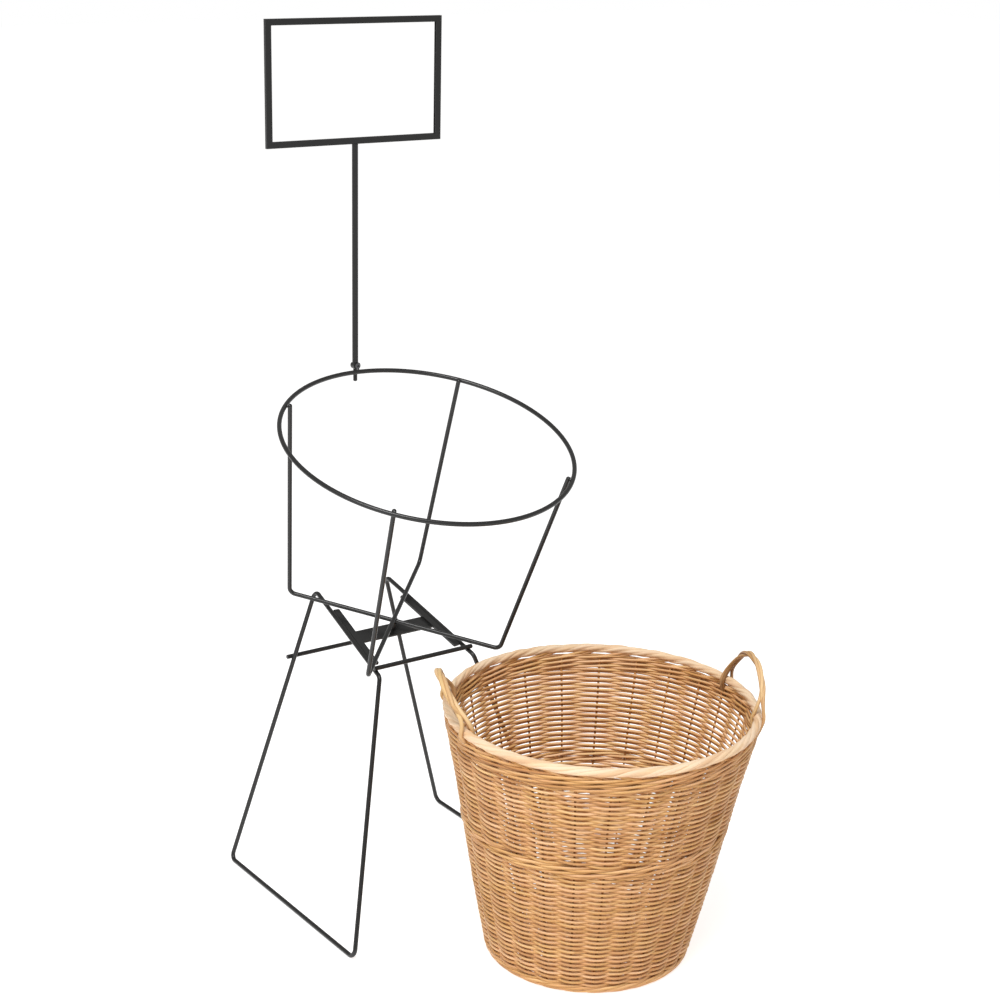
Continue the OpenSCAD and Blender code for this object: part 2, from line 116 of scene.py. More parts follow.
# The wale under the border leaves a line of openings above it
SLIT = 2.1 * MM
TOP_ROUNDS = 3
TOP_ROW = 6.2 * MM
TOP_START = TOP_Z - SLIT - TOP_ROUNDS * TOP_ROW

# Tones of the rods: about 0.5 is the middle of a material's colours
ROD_TONE = 0.5
ROD_TONE_SPREAD = 0.08
TOP_TONE = 0.42
STAKE_TONE = 0.1
BORDER_TONE = 0.45
# The inner side of the rods is painted paler, as painted light, and their outer side darker,
# as painted shade. On the two sides that the photograph shows darker, painted shade makes
# the inner side darker instead. The most painted light inside points away from the camera.
PAINTED_LIGHT_IN_SHADE_OUT = 0.1
PAINTED_LIGHT_AT = math.radians(54.5)
PAINTED_SHADE_AT_SIDES = 2.6

# Handwork: how the real side leans, bellies and is oval at the rim
RIM_PUSH = Vector((3.3 * MM, -2.3 * MM))
FOOT_PUSH = Vector((-4.1 * MM, 2.9 * MM))
BELLY = 1.5 * MM
OVAL = (-3.4 * MM, 1.5 * MM)
OVAL_FROM = 0.3
# Below the border the wall stands out a little
SHOULDER = 1.9 * MM
SHOULDER_AT = 0.9
SHOULDER_WIDTH = 0.08

# Handles, as in the part's source
HANDLE_DIR = math.radians(-25)
# Half the distance between a handle's feet, and their turn from its middle
HANDLE_HALF = 130 * MM / 2
HANDLE_TURN = math.asin(HANDLE_HALF / BORDER_R)
HANDLE_RISE = 58 * MM
LEAN_RIGHT = math.radians(3)
LEAN_LEFT = math.radians(22)
CANES = 3
CANE_R = 2.25 * MM
CANE_SWING = 2.1 * MM
CANE_GAP = 2.4 * MM
# Turns of the rope over the whole arch, and the share of it where it is whole
ROPE_TURNS = 1.3
ROPE_SHARE = 0.7
CANE_TONE_SPREAD = 0.13


def side_mid(z):
    """Radius of the middle of the woven side at a height."""
    return FOOT_R - SIDE_T / 2 + SLOPE * (z - FOOT_H)


def stake_angle(turn):
    """Direction of a place that is turn radians on from the first stake."""
    return STAKE_DIR + turn - STAKE_DRIFT * np.cos(turn)


def polar(r, angle, z):
    """Points about the basket's axis, with the handwork's deviations."""
    r, angle, z = np.broadcast_arrays(r, angle, z)
    share = z / BORDER_Z
    inside = np.clip(share, 0, 1)
    oval = np.clip((share - OVAL_FROM) / (1 - OVAL_FROM), 0, 1)
    shoulder = SHOULDER * np.exp(-((share - SHOULDER_AT) / SHOULDER_WIDTH) ** 2 / 2)
    bent = (r + BELLY * 4 * inside * (1 - inside) + shoulder
            + oval * (OVAL[0] * np.cos(2 * angle) + OVAL[1] * np.sin(2 * angle)))
    x = CENTRE.x + bent * np.cos(angle) + FOOT_PUSH.x + share * (RIM_PUSH.x - FOOT_PUSH.x)
    y = CENTRE.y + bent * np.sin(angle) + FOOT_PUSH.y + share * (RIM_PUSH.y - FOOT_PUSH.y)
    return np.stack([x, y, z], axis=-1)


def closed_turn(points):
    """Angles of a closed round."""
    return np.arange(points) * TAU / points


def drift(turn, waves, amount):
    """Smooth closed random drift along a row."""
    total = np.zeros_like(turn)
    for k in waves:
        total += np.sin(k * turn + rng.uniform(0, TAU)) / math.sqrt(len(waves))
    return amount * total


def outward(angle, normal):
    """Vectors that point out of the wall at an angle."""
    return np.stack([np.cos(angle) * normal[0], np.sin(angle) * normal[0],
                     np.full_like(angle, normal[1])], axis=-1)


def upward(count):
    """Vectors that point straight up."""
    return np.tile([0.0, 0.0, 1.0], (count, 1))


class Strands:
    """Collects round strands and turns them into one mesh."""

    # Scale of the grain's pattern round a rod, and range of the rods' places in it
    GRAIN_ROUND = 0.2
    GRAIN_SPAN = 50

    def __init__(self, sides):
        self.sides = sides
        self.points = []
        self.faces = []
        self.tones = []
        self.grain = []
        self.count = 0

    def add(self, path, up, thick, tone, closed=False, flat=1.0, under_painted_shade=0.2, front=0.0,
            back=0.0):
        """Adds a strand along path. thick, tone and back may be arrays. Painted shade and light
        go
        into the tone: the underside is painted darker and the top lighter by under, the side to
        up is painted darker by front, and the side away from it is painted lighter by back, or
        darker where back is below nought."""
        n = len(path)
        if closed:
            tangent = np.roll(path, -1, axis=0) - np.roll(path, 1, axis=0)
        else:
            tangent = np.gradient(path, axis=0)
        tangent /= np.linalg.norm(tangent, axis=1)[:, None]
        across = np.cross(tangent, up)
        across /= np.linalg.norm(across, axis=1)[:, None]
        out = np.cross(across, tangent)
        thick = np.broadcast_to(thick, n)
        tone = np.broadcast_to(tone, n)
        back = np.broadcast_to(back, n)
        turn = closed_turn(self.sides)
        ring = (out[:, None] * np.cos(turn)[None, :, None] * flat
                + across[:, None] * np.sin(turn)[None, :, None])
        points = path[:, None] + ring * thick[:, None, None]
        self.points.append(points.reshape(-1, 3))
        # Painted light and shade round each rod: underside darker, top lighter, the side to up
        # darker, the other side lighter or darker
        facing = np.cos(turn)[None, :]
        shade = np.where(facing > 0, front, back[:, None]) * facing
        self.tones.append((tone[:, None] + under_painted_shade * ring[:, :, 2] - shade).ravel())
        steps = np.linalg.norm(np.diff(path, axis=0), axis=1)
        along = np.concatenate([[0], np.cumsum(steps)])
        grain = np.stack(np.broadcast_arrays(
            along[:, None], rng.uniform(0, self.GRAIN_SPAN),
            turn[None, :] * self.GRAIN_ROUND), axis=-1)
        self.grain.append(grain.reshape(-1, 3))
        self.add_faces(n, closed)
        self.count += n * self.sides

    def add_faces(self, n, closed):
        """Quads between the rings of the strand that starts at the present count."""
        i = np.arange(n if closed else n - 1)[:, None]
        j = np.arange(self.sides)[None, :]
        i2 = (i + 1) % n
        j2 = (j + 1) % self.sides
        quads = np.stack(np.broadcast_arrays(
            i * self.sides + j, i2 * self.sides + j,
            i2 * self.sides + j2, i * self.sides + j2), axis=-1)
        self.faces.append(quads.reshape(-1, 4) + self.count)

    def build(self, name, material, slot):
        """Makes the mesh object, which rides on the basket."""
        points = np.concatenate(self.points)
        faces = np.concatenate(self.faces)
        mesh = bpy.data.meshes.new(name)
        mesh.vertices.add(len(points))
        mesh.vertices.foreach_set("co", points.ravel().astype(np.float32))
        mesh.loops.add(faces.size)
        mesh.loops.foreach_set("vertex_index", faces.ravel().astype(np.int32))
        mesh.polygons.add(len(faces))
        mesh.polygons.foreach_set("loop_start", np.arange(len(faces), dtype=np.int32) * 4)
        mesh.update(calc_edges=True)
        mesh.polygons.foreach_set("use_smooth", np.ones(len(faces), dtype=bool))
        # The tone holds each rod's own tone together with the painted shade and painted light
        # that add puts in
        tone = mesh.attributes.new("tone", "FLOAT", "POINT")
        tone.data.foreach_set("value", np.concatenate(self.tones).astype(np.float32))
        grain = mesh.attributes.new("grain", "FLOAT_VECTOR", "POINT")
        grain.data.foreach_set("vector", np.concatenate(self.grain).ravel().astype(np.float32))
        mesh.materials.append(material)
        obj = bpy.data.objects.new(name, mesh)
        bpy.context.scene.collection.objects.link(obj)
        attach(obj, "basket")
        return obj


# Materials
def new_material(name):
    """A material with its nodes, links and shader."""
    material = bpy.data.materials.new(name)
    material.use_nodes = True
    nodes = material.node_tree.nodes
    return material, nodes, material.node_tree.links, nodes["Principled BSDF"]


def fill(node, **inputs):
    """Sets a node's inputs by their names, with _ for a space."""
    for key, value in inputs.items():
        node.inputs[key.replace("_", " ")].default_value = value


def add_bump(nodes, links, shader, height, strength, distance):
    """Bumps a shader's surface by a height."""
    bump = nodes.new("ShaderNodeBump")
    fill(bump, Strength=strength, Distance=distance)
    links.new(height, bump.inputs["Height"])
    links.new(bump.outputs["Normal"], shader.inputs["Normal"])


def add_noise(nodes, links, vector, stretch, **inputs):
    """Noise over a vector that is stretched first; gives the noise's output."""
    mapping = nodes.new("ShaderNodeMapping")
    fill(mapping, Scale=stretch)
    links.new(vector, mapping.inputs["Vector"])
    noise = nodes.new("ShaderNodeTexNoise")
    fill(noise, **inputs)
    links.new(mapping.outputs["Vector"], noise.inputs["Vector"])
    return noise.outputs["Fac"]


def add_attribute(nodes, name):
    """Node that reads an attribute of the strands."""
    attribute = nodes.new("ShaderNodeAttribute")
    attribute.attribute_name = name
    return attribute


def tone_ramp(nodes, links, tone, streak, dark, mid, light):
    """Colour from dark to light by a rod's tone and the streaks along it."""
    streak_share = 0.55
    dark_at, mid_at, light_at = 0.22, 0.68, 1.15
    mix = nodes.new("ShaderNodeMath")
    mix.operation = "MULTIPLY_ADD"
    mix.inputs[1].default_value = streak_share
    links.new(streak, mix.inputs[0])
    links.new(tone.outputs["Fac"], mix.inputs[2])
    ramp = nodes.new("ShaderNodeValToRGB")
    ramp.color_ramp.elements[0].position = dark_at
    ramp.color_ramp.elements[0].color = (*dark, 1)
    ramp.color_ramp.elements[1].position = light_at
    ramp.color_ramp.elements[1].color = (*light, 1)
    middle = ramp.color_ramp.elements.new(mid_at)
    middle.color = (*mid, 1)
    links.new(mix.outputs["Value"], ramp.inputs["Fac"])
    return ramp.outputs["Color"]


def willow_material(name, dark, mid, light, roughness, yellow):
    """Rod colour from each strand's tone, which also carries painted shade and painted light,
    with streaks along its grain. Some rods, and stretches of others, are multiplied by yellow."""
    # Stretch of the pattern along a rod, from rod to rod, and round it
    streaks = (28, 1, 9)
    patches = (7, 1, 0)
    material, nodes, links, shader = new_material(name)
    tone = add_attribute(nodes, "tone")
    grain = add_attribute(nodes, "grain").outputs["Vector"]
    streak = add_noise(nodes, links, grain, streaks, Scale=1.6, Detail=5, Roughness=0.6)
    colour = tone_ramp(nodes, links, tone, streak, dark, mid, light)
    patch = add_noise(nodes, links, grain, patches, Scale=1.7, Detail=1)
    share = nodes.new("ShaderNodeMapRange")
    fill(share, From_Min=0.42, From_Max=0.62)
    links.new(patch, share.inputs["Value"])
    tint = nodes.new("ShaderNodeMix")
    tint.data_type = "RGBA"
    tint.blend_type = "MULTIPLY"
    links.new(share.outputs["Result"], tint.inputs["Factor"])
    links.new(colour, tint.inputs["A"])
    fill(tint, B=(*yellow, 1))
    links.new(tint.outputs["Result"], shader.inputs["Base Color"])
    fill(shader, Roughness=roughness, Specular_IOR_Level=0.25)
    add_bump(nodes, links, shader, streak, strength=0.25, distance=0.3 * MM)
    return material


def metal_material(name, colour, roughness, metallic, speckle):
    """Painted or plated steel with a fine orange-peel surface."""
    material, nodes, links, shader = new_material(name)
    fill(shader, Base_Color=(*colour, 1), Metallic=metallic, Specular_IOR_Level=0.4,
         Roughness=roughness)
    place = nodes.new("ShaderNodeTexCoord")
    peel = nodes.new("ShaderNodeTexNoise")
    fill(peel, Scale=900, Detail=2)
    links.new(place.outputs["Object"], peel.inputs["Vector"])
    add_bump(nodes, links, shader, peel.outputs["Fac"], strength=speckle, distance=0.1 * MM)
    return material


WILLOW = willow_material("willow_rods", (0.19, 0.056, 0.013), (0.63, 0.325, 0.13),
                         (0.87, 0.57, 0.33), 0.42, (0.98, 1.0, 0.84))
PEELED = willow_material("peeled_rods", (0.56, 0.3, 0.15), (0.78, 0.53, 0.33),
                         (0.86, 0.66, 0.47), 0.5, (1, 1, 0.94))
CANE = willow_material("handle_canes", (0.24, 0.11, 0.04), (0.57, 0.33, 0.15),
                       (0.76, 0.52, 0.28), 0.42, (0.98, 1, 0.9))
COAT = metal_material("satin_powder_coat", (0.017, 0.017, 0.017), 0.3, 0.0, 0.12)
SIGN_COAT = metal_material("satin_sign_coat", (0.008, 0.008, 0.008), 0.36, 0.0, 0.12)
PLATED = metal_material("black_plating", (0.09, 0.09, 0.095), 0.32, 0.85, 0.08)


# Woven side, wales, border, base and stakes
def rod_variation(turn):
    """Tone and thickness along a row that is made of two or three rods."""
    thick_end = 1.06
    thinning = 0.14
    joints = np.sort(rng.uniform(0, TAU, rng.integers(2, 4)))
    tones = rng.normal(ROD_TONE, ROD_TONE_SPREAD, len(joints))
    index = np.searchsorted(joints, turn) % len(joints)
    run = (turn - joints[index - 1]) % TAU
    return tones[index], thick_end - thinning * run / run.max()


def inner_painted_light(angle):
    """How much painted light the inner side of the rods gets at an angle: most at the back, and
    below nought, as painted shade, on the two sides.
    """
    return PAINTED_LIGHT_IN_SHADE_OUT * (1 - PAINTED_SHADE_AT_SIDES * np.sin(angle - PAINTED_LIGHT_AT) ** 2)


def plain_round(strands, z, parity):
    """One closed round of a single rod, outside one stake and inside the next."""
    blunt = 0.08
    uneven_swing = 0.06
    uneven_height = 0.2 * MM
    turn = closed_turn(STAKES * PER_STAKE)
    angle = stake_angle(turn)
    wave = np.cos(math.pi * (turn / STEP + parity))
    swing = (SWING * wave * (1 + blunt - blunt * wave ** 2)
             * (1 + drift(turn, (3, 5, 9), uneven_swing)))
    tone, taper = rod_variation(turn)
    height = z + drift(turn, (2, 5, 11, 17), uneven_height)
    path = polar(side_mid(height) + swing * math.cos(LEAN), angle,
                 height - swing * math.sin(LEAN))
    # The rods get painted shade on their outer side and painted light on their inner side, which
    # turns to painted shade on the basket's two sides
    strands.add(path, outward(angle, (1, -SLOPE)), ROD_R * taper, tone, closed=True,
                front=PAINTED_LIGHT_IN_SHADE_OUT, back=inner_painted_light(angle))


def wale(strands, rounds, shade, rise=WALE_RISE):
    """Three-rod wale: each rod runs outside two stakes and inside the third.
    rounds lists (radius, height, normal, swing) of every round, lowest first."""
    ends = 3
    thin_end = 0.25
    tone_spread = 0.08
    uneven_height = 0.12 * MM
    uneven_tone = 0.06
    steps = np.arange(-ends * PER_STAKE, len(rounds) * STAKES * PER_STAKE + 1)
    turn = steps * STEP / PER_STAKE
    lap = turn / TAU
    # The rods step up to the next round over the last stakes of each round, and
    # thin out under the first step and over the last
    step = np.clip((lap % 1 - 1) * STAKES / ends + 1, 0, 1) * (lap >= 0)
    level = np.clip(np.floor(lap) + step * step * (3 - 2 * step), 0, len(rounds) - 1)
    taper = np.clip(np.minimum(steps - steps[0], steps[-1] - steps) / (ends * PER_STAKE),
                    thin_end, 1)
    table = np.array([(r, z, n[0], n[1], swing) for r, z, n, swing in rounds])
    r, z, n0, n1, swing = (np.interp(level, np.arange(len(rounds)), column)
                           for column in table.T)
    angle = stake_angle(turn)
    for k in range(WALE_RODS):
        phase = STAKES / WALE_RODS * turn + k * TAU / WALE_RODS
        out = swing * (WALE_HOLD - np.cos(phase) - WALE_HOLD * np.cos(2 * phase))
        lift = -rise * WALE_ROW * np.sin(phase) + drift(turn, (3, 7), uneven_height)
        tone = shade + tone_spread * (k - 1) + drift(turn, (1, 2, 6), uneven_tone)
        path = polar(r + out * n0 - lift * n1, angle, z + out * n1 + lift * n0)
        normal = np.stack([np.cos(angle) * n0, np.sin(angle) * n0, n1], axis=-1)
        # The rods get painted shade on their outer side and painted light on their inner side,
        # which turns to painted shade on the basket's two sides
        strands.add(path, normal, WALE_ROD_R * taper, tone, front=PAINTED_LIGHT_IN_SHADE_OUT,
                    back=inner_painted_light(angle))


def row_heights(low_z, high_z):
    """Heights of even rounds between two levels."""
    count = round((high_z - low_z) / ROW)
    return [low_z + (i + 0.5) * (high_z - low_z) / count for i in range(count)]


def make_side():
    spans = (("weave_lower", "basket_side_lower", FOOT_H, mid_lo.z),
             ("weave_upper", "basket_side_upper", mid_hi.z, TOP_START))
    for name, node, low_z, high_z in spans:
        strands = Strands(sides=8)
        for i, z in enumerate(row_heights(low_z, high_z)):
            plain_round(strands, z, i % 2)
        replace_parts(strands.build(name, WILLOW, "willow"), node)


def make_wales():
    out = (math.cos(LEAN), -math.sin(LEAN))
    wales = (("wale_middle", "basket_middle_wale", mid_lo.z, 2, WALE_ROW, ROD_TONE),
             ("wale_top", "basket_top_wale", TOP_START, TOP_ROUNDS, TOP_ROW, TOP_TONE))
    for name, node, low_z, count, pitch, shade in wales:
        strands = Strands(sides=9)
        heights = [low_z + (i + 0.5) * pitch for i in range(count)]
        wale(strands, [(side_mid(z), z, out, WALE_SWING) for z in heights], shade)
        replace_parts(strands.build(name, WILLOW, "willow"), node)
    # The foot: one round under the edge, one upright on it
    strands = Strands(sides=9)
    rounds = [(FOOT_R - 5.6 * MM, 4.2 * MM, (0.77, -0.64), 1.5 * MM),
              (FOOT_R - 4.4 * MM, 8.6 * MM, (0.99, -0.14), 2.4 * MM)]
    wale(strands, rounds, ROD_TONE, rise=FOOT_RISE)
    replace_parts(strands.build("wale_foot", WILLOW, "willow"), "basket_foot_wale")


def make_stakes():
    """Upright stakes, which bend over into the border at the top."""
    foot_z = 6 * MM
    foot_in = 8 * MM
    bend_z = TOP_Z - SLIT - 3 * MM
    bend_in = 1.6 * MM
    upright, over_points, spread_points = 40, 15, 6
    off_place, off_line, off_tone, waves = 0.006, 0.004, 0.05, 7
    # Towards the bend the stakes are wider and paler
    wider = 0.55
    paler = 0.4
    # Place, thickness and tone of the second rod at the bend
    lay_out, lay_back, lay_low = 1.2 * MM, 0.05, 1 * MM
    lay_thick, lay_tone, lay_spread = 1.5, 0.42, 0.06
    strands = Strands(sides=8)
    for k in range(STAKES):
        angle = stake_angle(k * STEP + rng.normal(0, off_place))
        z = np.linspace(foot_z, bend_z, upright)
        start = np.clip((FOOT_H - z) / FOOT_H, 0, 1)
        r = side_mid(z) - start ** 2 * foot_in
        bow = angle + off_line * np.sin(z / BORDER_Z * waves + k)
        over = np.linspace(0, 1, over_points + 1)[1:]
        over_z = bend_z + (BORDER_Z - bend_z) * over
        turn = bow[-1] - over * STEP
        reach = side_mid(bend_z) + (BORDER_R - side_mid(bend_z)) * over
        reach -= bend_in * np.sin(over * math.pi)
        path = np.concatenate([polar(r, bow, z), polar(reach, turn, over_z)])
        up = np.tile([math.cos(angle), math.sin(angle), 0.0], (len(path), 1))
        leaf = np.concatenate([np.zeros(upright - spread_points),
                               np.linspace(0, 1, spread_points), np.ones(over_points)])
        tone = rng.normal(STAKE_TONE, off_tone) + paler * leaf
        strands.add(path, up, STAKE_R * (1 + wider * leaf), tone)
        # A second rod beside the stake fills out the bend
        lay = polar(reach + lay_out, turn - lay_back, over_z - lay_low)
        strands.add(lay, up[:len(lay)], STAKE_R * lay_thick, rng.normal(lay_tone, lay_spread))
    strands.build("stakes", WILLOW, "willow")


def make_border():
    """Rolled border: peeled rods laid round a core, close and nearly flat."""
    rods, twists, points = 5, 11, 900
    hub_share, hub_drift = 0.55, 0.03
    rod_share, rod_flat = 0.46, 0.9
    core_share, core_tone = 0.84, 0.35
    phase_drift = 0.35
    # The border waves up over the stakes, and out by a share of that. The waves come
    # early or late by turns round it.
    wave_up, out_share = 0.35 * MM, 0.5
    early, early_waves = 0.6, 3
    tone_spread = 0.08
    strands = Strands(sides=12)
    turn = closed_turn(points)
    for k in range(rods):
        phase = twists * turn + k * TAU / rods + drift(turn, (2, 3, 5), phase_drift)
        hub = BORDER_TUBE * (hub_share + drift(turn, (4, 7, 11), hub_drift))
        bump = wave_up * np.sin(STAKES * turn + early * np.sin(early_waves * turn))
        path = polar(BORDER_R + hub * np.cos(phase) + out_share * bump, turn,
                     BORDER_Z + hub * np.sin(phase) + bump)
        up = np.stack([np.cos(turn) * np.cos(phase), np.sin(turn) * np.cos(phase),
                       np.sin(phase)], axis=-1)
        tone = (BORDER_TONE + rng.normal(0, tone_spread)
                + drift(turn, (1, 4, 9), tone_spread))
        strands.add(path, up, BORDER_TUBE * rod_share, tone, closed=True, flat=rod_flat)
    core = polar(BORDER_R, turn, BORDER_Z)
    strands.add(core, outward(turn, (1, 0)), BORDER_TUBE * core_share, core_tone, closed=True)
    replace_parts(strands.build("border_roll", PEELED, "peeled_willow"), "basket_border")


# Base: two layers of sticks cross in the middle, then fan out evenly
BASE_Z = (base_lo.z + base_hi.z) / 2
BASE_RIM = FOOT_R - 9 * MM
BASE_STICKS = 7
SPOKES = 4 * BASE_STICKS
FAN_STEP = TAU / SPOKES
PER_SPOKE = 10


def add_base_stick(strands, start, sign, side, lift):
    """A stick from the middle out: start is its direction, side its place beside the
    middle one, and sign turns side round for the sticks that point back."""
    stick_r, stick_gap = 1.7 * MM, 4 * MM
    fan_from, fan_over = 15 * MM, 22 * MM
    tone, spread = 0.36, 0.08
    hub = polar(0, 0, BASE_Z)
    along = np.linspace(-2 * MM, BASE_RIM, 30)
    fan = np.clip((along - fan_from) / fan_over, 0, 1)
    ahead = np.array([math.cos(start), math.sin(start)])
    aside = sign * np.array([-math.sin(start), math.cos(start)])
    fanned = start + sign * side * FAN_STEP
    straight = along[:, None] * ahead + side * stick_gap * aside
    radial = along[:, None] * np.array([math.cos(fanned), math.sin(fanned)])
    flat = straight * (1 - fan[:, None]) + radial * fan[:, None]
    path = np.stack([hub[0] + flat[:, 0], hub[1] + flat[:, 1], BASE_Z + lift * (1 - fan)],
                    axis=-1)
    strands.add(path, upward(len(path)), stick_r, rng.normal(tone, spread))


def make_base():
    """Round base: crossed sticks, and rounds of weaving over the fan."""
    cross_lift = 1.6 * MM
    strands = Strands(sides=7)
    for axis, lift in ((0, -cross_lift), (1, cross_lift)):
        for j in range(BASE_STICKS):
            side = j - (BASE_STICKS - 1) / 2
            for way, sign in ((0, 1), (1, -1)):
                start = axis * math.pi / 2 + way * math.pi
                add_base_stick(strands, start, sign, side, lift)
    # The weaving starts at the corners of the cross
    start_r = 18 * MM
    rod_r, rod_swing, uneven = 1.66 * MM, 1.8 * MM, 0.3 * MM
    count = round((BASE_RIM - start_r) / ROW)
    turn = closed_turn(SPOKES * PER_SPOKE)
    for i in range(count):
        r = start_r + (i + 0.5) * (BASE_RIM - start_r) / count
        swing = rod_swing * np.cos(math.pi * (turn / FAN_STEP + i % 2))
        tone, taper = rod_variation(turn)
        path = polar(r + drift(turn, (2, 3, 7), uneven), turn, BASE_Z)
        path[:, 2] += swing
        strands.add(path, upward(len(path)), rod_r * taper, tone, closed=True)
    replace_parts(strands.build("base_weave", WILLOW, "willow"), "basket_base")


# Handles
def smooth_path(points, count):
    """Catmull-Rom curve through points, in equal steps of its parameter."""
    points = np.asarray(points, dtype=float)
    padded = np.concatenate([[2 * points[0] - points[1]], points,
                             [2 * points[-1] - points[-2]]])
    spans = len(points) - 1
    t = np.linspace(0, spans, count)
    i = np.minimum(t.astype(int), spans - 1)
    u = (t - i)[:, None]
    a, b, c, d = padded[i], padded[i + 1], padded[i + 2], padded[i + 3]
    return 0.5 * (2 * b + (c - a) * u + (2 * a - 5 * b + 4 * c - d) * u ** 2
                  + (3 * b - 3 * c + d - a) * u ** 3)


def eased(path, reach):
    """A path with its bends evened out over reach points to each side."""
    weights = np.hanning(2 * reach + 3)[1:-1]
    padded = np.pad(path, ((reach, reach), (0, 0)), mode="edge")
    return np.stack([np.convolve(padded[:, i], weights / weights.sum(), "valid")
                     for i in range(3)], axis=-1)


def cane_foot(angle, way, saddle, tuck, bow):
    """Points of a cane from the rope down into the weave. way is 1 outside the
    border and -1 inside it; bow is how far the middle of the arch is bowed."""
    near = side_mid(TOP_Z)
    # Radius, height and share of the bow
    rows = ((BORDER_R + way * saddle * 0.42, BORDER_Z + saddle + 6 * MM, 0.35),
            (BORDER_R + way * saddle * 0.88, BORDER_Z + saddle * 0.4, 0.1),
            (BORDER_R + way * saddle * 0.92, BORDER_Z - 3.5 * MM, 0),
            (near + way * 5 * MM, BORDER_Z - 0.46 * tuck, 0),
            (near + way * 2.4 * MM, BORDER_Z - 0.73 * tuck, 0),
            (near - way * 2.5 * MM, BORDER_Z - tuck, 0))
    return [polar(r, angle, z) + bow * share for r, z, share in rows]


def rope_arch(heading, lean_out, bow_out, skew, saddle, drop):
    """Middle line of a handle's rope over its feet. Gives its points, how far along
    the arch each of them is, and the directions away from the arch's centre, square
    to the arch, and away from the basket."""
    rope_points = 25
    rise = HANDLE_RISE - drop - saddle
    arch_r = (HANDLE_HALF ** 2 + rise ** 2) / (2 * rise)
    arch_half = 2 * math.atan(rise / HANDLE_HALF)
    feet = [polar(BORDER_R, heading + s * HANDLE_TURN, BORDER_Z + saddle) for s in (-1, 1)]
    middle = (feet[0] + feet[1]) / 2
    side = (feet[1] - feet[0]) / np.linalg.norm(feet[1] - feet[0])
    out = np.array([side[1], -side[0], 0])
    up = np.array([0, 0, 1.0])
    tall = up * math.cos(lean_out) + out * math.sin(lean_out)
    face = out * math.cos(lean_out) - up * math.sin(lean_out)
    lean = np.linspace(-arch_half * ROPE_SHARE, arch_half * ROPE_SHARE, rope_points)
    radial = side * np.sin(lean)[:, None] + tall * np.cos(lean)[:, None]
    raised = 1 - (1 - np.cos(lean)) / (1 - math.cos(arch_half))
    bow = 1 - (1 - raised) ** 2
    centre = (middle + radial * arch_r - tall * (arch_r - rise)
              + (out * bow_out + side * skew) * bow[:, None])
    return centre, lean / (2 * arch_half) + 0.5, radial, face, out


def make_handle(name, node, heading, lean_out, shade, bow_out, skew, girth=1.0,
                drop=0.0, tuck=26 * MM):
    """Rope of twisted canes on an arch; at each foot they part round the border.
    shade gives the canes' tone at the two feet; the arch bows out, skews and drops.
    The canes end in the weave, tuck below the border."""
    path_points, easing = 260, 9
    guide_up = 0.15
    strands = Strands(sides=12)
    cane_r = CANE_R * girth
    saddle = BORDER_TUBE + cane_r
    centre, along, radial, face, out = rope_arch(heading, lean_out, bow_out, skew, saddle,
                                                 drop)
    for k in range(CANES):
        phase = k * TAU / CANES + ROPE_TURNS * TAU * along
        core = centre + CANE_SWING * girth * (radial * np.cos(phase)[:, None]
                                              + face * np.sin(phase)[:, None])
        # The middle cane goes inside the border at one foot, the others at the other
        slide = (k - 1) * CANE_GAP / BORDER_R
        way = 1 if k == 1 else -1
        first, last = (cane_foot(heading + s * HANDLE_TURN + slide, s * way, saddle, tuck,
                                 out * bow_out) for s in (-1, 1))
        path = eased(smooth_path(first[::-1] + list(core) + last, path_points), easing)
        tangent = np.gradient(path, axis=0)
        guide = np.tile(face, (len(path), 1)) + guide_up * upward(len(path))
        guide -= tangent * (np.sum(guide * tangent, axis=1)
                            / np.sum(tangent * tangent, axis=1))[:, None]
        tone = np.linspace(shade[0], shade[1], len(path)) + CANE_TONE_SPREAD * (k - 1)
        # The canes get stronger painted shade on their undersides, and painted light on their
        # tops
        strands.add(path, guide, cane_r, tone, under_painted_shade=0.3)
    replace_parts(strands.build(name, CANE, "cane"), node)


# Stand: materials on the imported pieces, and weld beads where they meet
def paint_stand():
    plated = ("centre_washer", "centre_screw", "clamp_screw")
    for name, obj in frame["nodes"].items():
        if name.startswith("basket_"):
            continue
        material = PLATED if name in plated else COAT
        if name.startswith(("sign_", "card_")):
            material = SIGN_COAT
        for i in range(len(obj.material_slots)):
            obj.material_slots[i].material = material
        if not obj.material_slots:
            obj.data.materials.append(material)


def make_welds():
    """Small beads where a wire is welded to another, at the nearest points of the
    two pieces' surfaces."""
    apart = 60 * MM
    pairs = (("leg_frame_left", "cross_rod_back", 1), ("leg_frame_right", "cross_rod_back", 1),
             ("leg_frame_left", "cross_rod_front", 1), ("leg_frame_right", "cross_rod_front", 1),
             ("cradle_wire_lower", "cradle_wire_upper", 1), ("cradle_wire_lower", "ring", 2),
             ("cradle_wire_upper", "ring", 2), ("post_socket", "ring", 1))
    for first, second, count in pairs:
        mesh = frame["nodes"][second].data
        place = frame["nodes"][second].matrix_world
        tree = BVHTree.FromPolygons([place @ v.co for v in mesh.vertices],
                                    [p.vertices for p in mesh.polygons])
        nearest = []
        for point in edge_points(first):
            hit, _, _, distance = tree.find_nearest(point)
            nearest.append((distance, (point + hit) / 2))
        nearest.sort(key=lambda pair: pair[0])
        places = []
        for _, point in nearest:
            if len(places) < count and all((point - p).length > apart for p in places):
                places.append(point)
                bead(f"weld_{first}_{second}_{len(places)}", point, first)


def edge_points(node):
    """Points along the edges of a piece, a few millimetres apart."""
    pitch = 4 * MM
    obj = frame["nodes"][node]
    mesh = obj.data
    for edge in mesh.edges:
        a, b = (obj.matrix_world @ mesh.vertices[i].co for i in edge.vertices)
        steps = max(1, math.ceil((b - a).length / pitch))
        for i in range(steps):
            yield a.lerp(b, i / steps)


